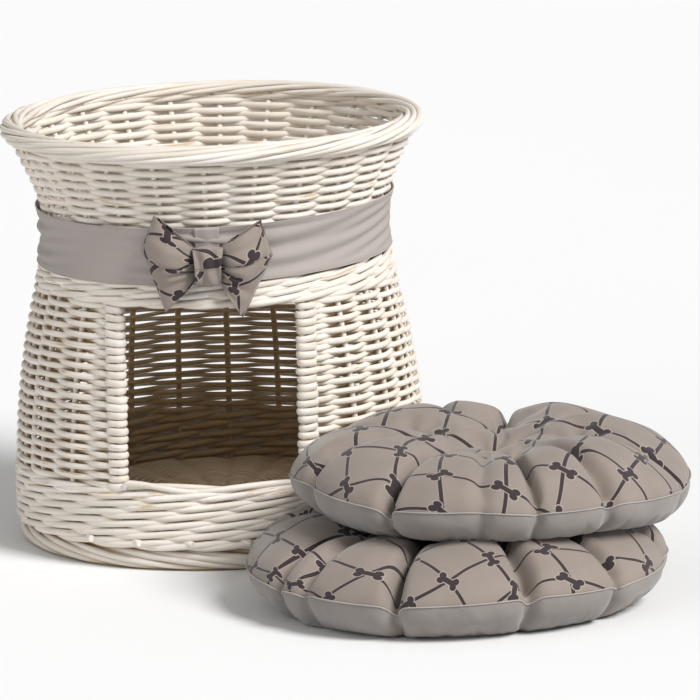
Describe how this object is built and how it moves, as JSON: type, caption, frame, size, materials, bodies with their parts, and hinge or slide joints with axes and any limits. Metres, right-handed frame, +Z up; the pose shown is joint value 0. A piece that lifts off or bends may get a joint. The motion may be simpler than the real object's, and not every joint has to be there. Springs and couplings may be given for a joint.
{
  "type": "wicker pet bed basket",
  "caption": "Round hourglass wicker pet basket with a doorway cave below, an open bowl above, a cloth waist band with a bow, and loose round tufted cushions.",
  "frame": {"origin": "on the floor, under the middle of the basket", "axes": "+Z up along the basket's axis; the doorway looks along -Y; the stacked cushions lie towards +X and -Y"},
  "size_m": [0.7311, 0.8128, 0.46],
  "materials": {
    "willow_wall": "whitewashed peeled willow, matt",
    "willow_border": "whitewashed peeled willow, matt",
    "willow_stakes": "whitewashed peeled willow, matt",
    "willow_floor": "thinly whitewashed willow, matt",
    "grey_cotton": "plain warm grey cotton",
    "print_cotton": "beige cotton printed with a dark lattice of bones",
    "wadding": "polyester wadding",
    "tuft_thread": "twisted cotton thread"
  },
  "bodies": {
    "basket": {"foot_border": "willow_border", "base_sticks": "willow_floor", "base_weave": "willow_floor", "base_wale": "willow_wall", "lower_wall": "willow_wall", "upper_wall": "willow_wall", "side_stakes": "willow_stakes", "sill_stakes": "willow_stakes", "bowl_front_stakes": "willow_stakes", "door_post_left": "willow_stakes", "door_post_right": "willow_stakes", "door_wrap_left": "willow_wall", "door_wrap_right": "willow_wall", "sill_border": "willow_border", "lintel_wale": "willow_wall", "tray_sticks": "willow_floor", "tray_weave": "willow_floor", "waist_wall": "willow_wall", "bowl_wall": "willow_wall", "rim_border": "willow_border", "waist_band": "grey_cotton", "bow_strap": "grey_cotton", "bow_loop_left": "print_cotton", "bow_loop_right": "print_cotton", "bow_knot": "print_cotton"},
    "lower_cushion": {"lower_top_panel": "print_cotton", "lower_gusset": "grey_cotton", "lower_bottom_panel": "grey_cotton", "lower_filling": "wadding", "lower_tufts": "tuft_thread"},
    "upper_cushion": {"upper_top_panel": "print_cotton", "upper_gusset": "grey_cotton", "upper_bottom_panel": "grey_cotton", "upper_filling": "wadding", "upper_tufts": "tuft_thread"}
  },
  "joints": [
    {"name": "lower_lift", "type": "slide", "parent": "basket", "child": "lower_cushion", "axis": [0, 0, 1], "range_m": [0, 0.3]},
    {"name": "upper_lift", "type": "slide", "parent": "lower_cushion", "child": "upper_cushion", "axis": [0, 0, 1], "range_m": [0, 0.3]}
  ]
}
